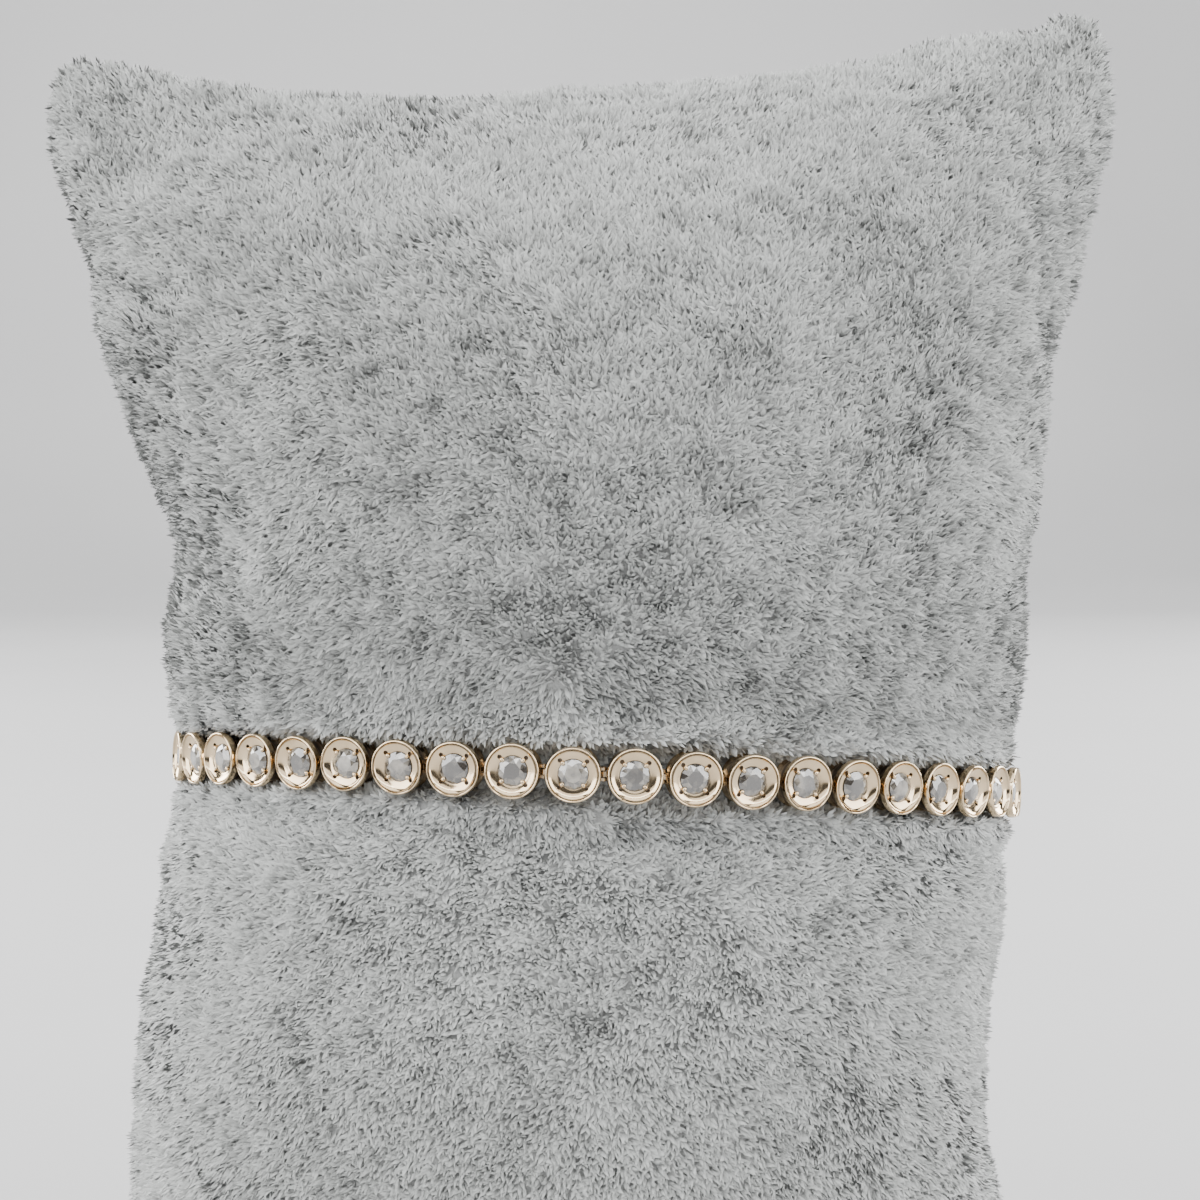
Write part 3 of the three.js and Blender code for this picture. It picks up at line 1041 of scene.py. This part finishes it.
@dataclass
class Pillow:
    """The display pillow: its padded skin, and the plush pile on it."""

    loop: Loop
    cloth: bpy.types.Material
    pile: Pile
    middle: float = 53.0
    seam_height: float = 106.0
    front_tufts: float = 20.0
    back_tufts: float = 13.0
    groove_clear: float = 1.2
    groove_half: float = 2.1
    pile_sunk: float = 0.5
    cell: float = 2.5
    cloth_mass: float = 0.001
    cloth_pressure: float = 40.0
    cloth_slack: float = 0.02
    cloth_frames: int = 20
    most_move: float = 0.9
    shoulder: float = 1.3
    shoulder_height: float = 3.0
    trims: tuple[tuple[float, float, float, float], ...] = (
        (-41.0, 108.0, 6.0, 1.3),
        (30.0, 112.0, 13.0, 1.2),
        (3.0, 107.0, 9.0, 0.7),
        (-36.0, 84.0, 10.0, -0.5),
        (-33.0, 71.0, 4.5, -0.8),
        (-34.0, 47.0, 4.0, 0.4),
        (-36.0, 28.0, 8.0, -0.3),
        (36.0, 96.0, 14.0, 0.4),
        (33.0, 33.0, 9.0, -1.2),
    )

    def build(self) -> bpy.types.Object:
        """Makes the skin and its stretches of pile."""
        skin = self._skin()
        self._mark_nap(skin.data)
        seed = 0
        for face, per_mm2 in (("front", self.front_tufts), ("back", self.back_tufts)):
            for end in ("upper", "lower"):
                for side in ("left", "right"):
                    seed += 1
                    keep = self._stretch(face, end, side)
                    self.pile.build(f"pile_{face}_{end}_{side}", skin, keep, per_mm2, seed)
        shaded(skin.data, Shade.ROUND)
        finished(skin, self.cloth)
        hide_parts("pillow")
        return skin

    def _stretch(self, face: str, end: str, side: str) -> Keep:
        """The test for the points of one stretch: front or back, upper or lower, left or right."""

        def inside(point: Vector) -> bool:
            """Whether the point lies in the stretch."""
            fore = (point.y < 0) == (face == "front")
            high = (self.loop.above(*point) > 0) == (end == "upper")
            return fore and high and (point.x < 0) == (side == "left")

        return inside

    def _skin(self) -> bpy.types.Object:
        """The skin, as a smooth copy of the frame's solid, a little inside it."""
        shape = bmesh.new()
        shape.from_mesh(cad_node("pillow").data)
        bmesh.ops.remove_doubles(shape, verts=shape.verts, dist=1e-6)
        bmesh.ops.join_triangles(
            shape,
            faces=shape.faces,
            angle_face_threshold=math.radians(50),
            angle_shape_threshold=math.radians(60),
        )
        skin = as_object("pillow_skin", shape)
        self._smoothed(skin)
        even = skin.modifiers.new("even", "REMESH")
        even.mode = "VOXEL"
        even.voxel_size = self.cell * MM
        applied(skin)
        self._plumped(skin)
        self._smoothed(skin)
        normals = [point.normal.copy() for point in skin.data.vertices]
        for point, normal in zip(skin.data.vertices, normals):
            point.co = self._settled(point.co / MM, normal) * MM
        return skin

    @staticmethod
    def _smoothed(skin: bpy.types.Object) -> None:
        """Rounds the skin with one level of subdivision."""
        smooth = skin.modifiers.new("smooth", "SUBSURF")
        smooth.levels = smooth.render_levels = 1
        applied(skin)

    def _plumped(self, skin: bpy.types.Object) -> None:
        """Fills the skin as slack cloth under pressure, held at the bracelet, the seam and the base."""
        rest = [point.co.copy() for point in skin.data.vertices]
        held = skin.vertex_groups.new(name="held")
        for point in skin.data.vertices:
            place = point.co / MM
            if abs(self.loop.above(*place)) < self.groove_half + 1 or not 1.0 < place.z < self.seam_height:
                held.add([point.index], 1.0, "REPLACE")
        cloth = skin.modifiers.new("cloth", "CLOTH")
        settings = cloth.settings
        settings.quality = 6
        settings.mass = self.cloth_mass
        settings.use_pressure = True
        settings.uniform_pressure_force = self.cloth_pressure
        settings.shrink_min = -self.cloth_slack
        settings.effector_weights.gravity = 0.0
        settings.vertex_group_mass = held.name
        cloth.collision_settings.use_collision = False
        scene = bpy.context.scene
        for frame in range(1, self.cloth_frames + 1):
            scene.frame_set(frame)
        applied(skin)
        scene.frame_set(1)
        for point, start in zip(skin.data.vertices, rest):
            move = point.co - start
            if move.length > self.most_move * MM:
                point.co = start + move.normalized() * self.most_move * MM

    def _settled(self, point: Vector, normal: Vector) -> Vector:
        """A point of the skin, with the pile's thickness taken off and kept clear of the links."""
        base = min(1.0, point.z / 2.0)
        point = point - normal * self.pile_sunk * base
        height = abs(self.loop.above(*point))
        swell = noise.noise(point / 14.0) * 0.35 + noise.noise(point / 5.0) * 0.12
        swell += self.shoulder * math.exp(-((height - self.shoulder_height) ** 2))
        for x, z, reach, push in self.trims:
            swell += push * math.exp(-((point.x - x) ** 2 + (point.z - z) ** 2) / reach**2)
        point = point + normal * swell * base
        reach = self.loop.outside(point.x, point.y) + self.groove_clear
        if height < self.groove_half and reach > 0:
            inward = Vector((point.x - self.loop.shift, point.y, 0)).normalized()
            point = point - inward * reach
        point.z = max(0.0, point.z)
        return point

    def _mark_nap(self, mesh: bpy.types.Mesh) -> None:
        """Writes the direction that the pile is combed in, and its depth, to each point of the skin."""
        nap = mesh.attributes.new("nap", "FLOAT_VECTOR", "POINT")
        depth = mesh.attributes.new("depth", "FLOAT_VECTOR", "POINT")
        combed: list[float] = []
        depths: list[float] = []
        for point in mesh.vertices:
            place = point.co / MM
            combed.extend(self._combed(place))
            depths.extend(self._depth(place))
        nap.data.foreach_set("vector", combed)
        depth.data.foreach_set("vector", depths)

    def _combed(self, place: Vector) -> Vector:
        """The way the pile lies: it fans out from the middle, and swirls here and there."""
        fan = Vector((place.x - self.loop.shift, 0, place.z - self.middle - 3)) / 20.0
        drift = noise.noise_vector(place / 22.0)
        swirl = noise.noise(place / 9.0) * 1.6
        return Matrix.Rotation(swirl, 3, "Y") @ (fan + drift * 1.6).normalized()

    def _depth(self, place: Vector) -> tuple[float, float, float]:
        """The tufts' scale along, across and outwards: pressed flat behind the bracelet and under the base."""
        height = abs(self.loop.above(*place))
        open_air = min(1.0, max(0.0, (height - 1.9) / 1.0))
        foot = min(1.0, max(0.12, place.z / 1.2))
        pressed = 0.35 + 0.65 * open_air
        return (0.6 + 0.4 * open_air, 1.0, pressed * foot)


@dataclass
class Studio:
    """The floor, the backdrop, the lights and the camera."""

    paint: bpy.types.Material
    picture: float = 1200.0
    focal: float = 2539.5
    camera_place: tuple[float, float, float] = (-11.2, -202.53, 79.43)
    camera_yaw: float = 0.0597
    camera_pitch: float = 0.0611
    world_light: float = 0.09

    def build(self) -> None:
        """Sets up everything round the part."""
        self._floor()
        self._camera()
        self._lights()

    def _floor(self) -> None:
        """A pale floor that curves up into a backdrop."""
        shape = bmesh.new()
        row = [shape.verts.new((side * 4.0, -4.0, 0)) for side in (-1, 1)]
        line = shape.edges.new(row)
        path = [(1.0, 0.0), (1.12, 0.01), (1.22, 0.05), (1.29, 0.12), (1.32, 0.24), (1.32, 2.4)]
        for y, z in path:
            pushed = bmesh.ops.extrude_edge_only(shape, edges=[line])["geom"]
            risen = [item for item in pushed if isinstance(item, bmesh.types.BMVert)]
            line = next(item for item in pushed if isinstance(item, bmesh.types.BMEdge))
            for point in risen:
                point.co = (point.co.x, y, z)
        bmesh.ops.recalc_face_normals(shape, faces=shape.faces)
        floor = as_object("studio_floor", shape)
        shaded(floor.data, Shade.ROUND)
        floor.data.materials.append(self.paint)

    def _camera(self) -> None:
        """The camera, at the photograph's viewing angle."""
        lens = bpy.data.cameras.new("camera")
        lens.sensor_width = 36.0
        lens.lens = self.focal / self.picture * lens.sensor_width
        lens.clip_start = 0.01
        camera = bpy.data.objects.new("camera", lens)
        bpy.context.scene.collection.objects.link(camera)
        camera.location = Vector(self.camera_place) * MM
        level = math.cos(self.camera_pitch)
        ahead = Vector(
            (
                math.sin(self.camera_yaw) * level,
                math.cos(self.camera_yaw) * level,
                -math.sin(self.camera_pitch),
            )
        )
        camera.rotation_euler = ahead.to_track_quat("-Z", "Y").to_euler()
        bpy.context.scene.camera = camera

    def _softbox(self, name: str, place: tuple, aim: tuple, size: tuple, power: float) -> None:
        """Adds one soft light.

        Args:
            name: Its name.
            place: Where it stands, in metres.
            aim: What it points at.
            size: Its width and height.
            power: Its power in watts.
        """
        lamp = bpy.data.lights.new(name, "AREA")
        lamp.shape = "RECTANGLE"
        lamp.size, lamp.size_y = size
        lamp.energy = power
        holder = bpy.data.objects.new(name, lamp)
        bpy.context.scene.collection.objects.link(holder)
        holder.location = place
        holder.rotation_euler = (Vector(aim) - Vector(place)).to_track_quat("-Z", "Y").to_euler()

    def _lights(self) -> None:
        """A large light overhead, one from the front on each side, and a dim room."""
        middle = (0.0, 0.0, 0.06)
        for side, name in ((-1, "left"), (1, "right")):
            self._softbox(name, (side * 1.1, -0.5, 0.48), middle, (1.1, 1.0), 24.0)
            self._softbox(f"{name}_edge", (side * 0.8, 0.54, 0.44), middle, (0.55, 0.75), 22.0)
        self._softbox("front", (0.0, -1.2, 0.85), middle, (1.9, 0.85), 11.5)
        self._softbox("strip", (0.0, -0.88, 0.9), middle, (1.8, 0.15), 6.0)
        self._softbox("top", (0.0, -0.26, 1.3), middle, (1.8, 1.1), 19.0)
        world = bpy.data.worlds.new("room")
        world.use_nodes = True
        back = world.node_tree.nodes["Background"]
        back.inputs["Color"].default_value = rgba(1.0, 1.0, 1.0)
        back.inputs["Strength"].default_value = self.world_light
        bpy.context.scene.world = world


NODES: dict[str, bpy.types.Object] = {}


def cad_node(name: str) -> bpy.types.Object:
    """The frame's solid of that name."""
    return NODES[name]


def main() -> None:
    """Builds the bracelet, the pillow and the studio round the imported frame."""
    logging.basicConfig(level=logging.INFO, format="%(name)s: %(message)s")
    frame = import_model()
    NODES.update(frame["nodes"])
    loop = Loop()
    Bracelet(loop, PolishedGold().build(), CutStone().build()).build()
    tuft = Tuft().build()
    cloth = Plush(name="plush_cloth", tufted=False).build()
    Pillow(loop, cloth, Pile(tuft, Plush().build())).build()
    bpy.data.objects.remove(tuft)
    Studio(PalePaint().build()).build()


if __name__ == "__main__":
    main()
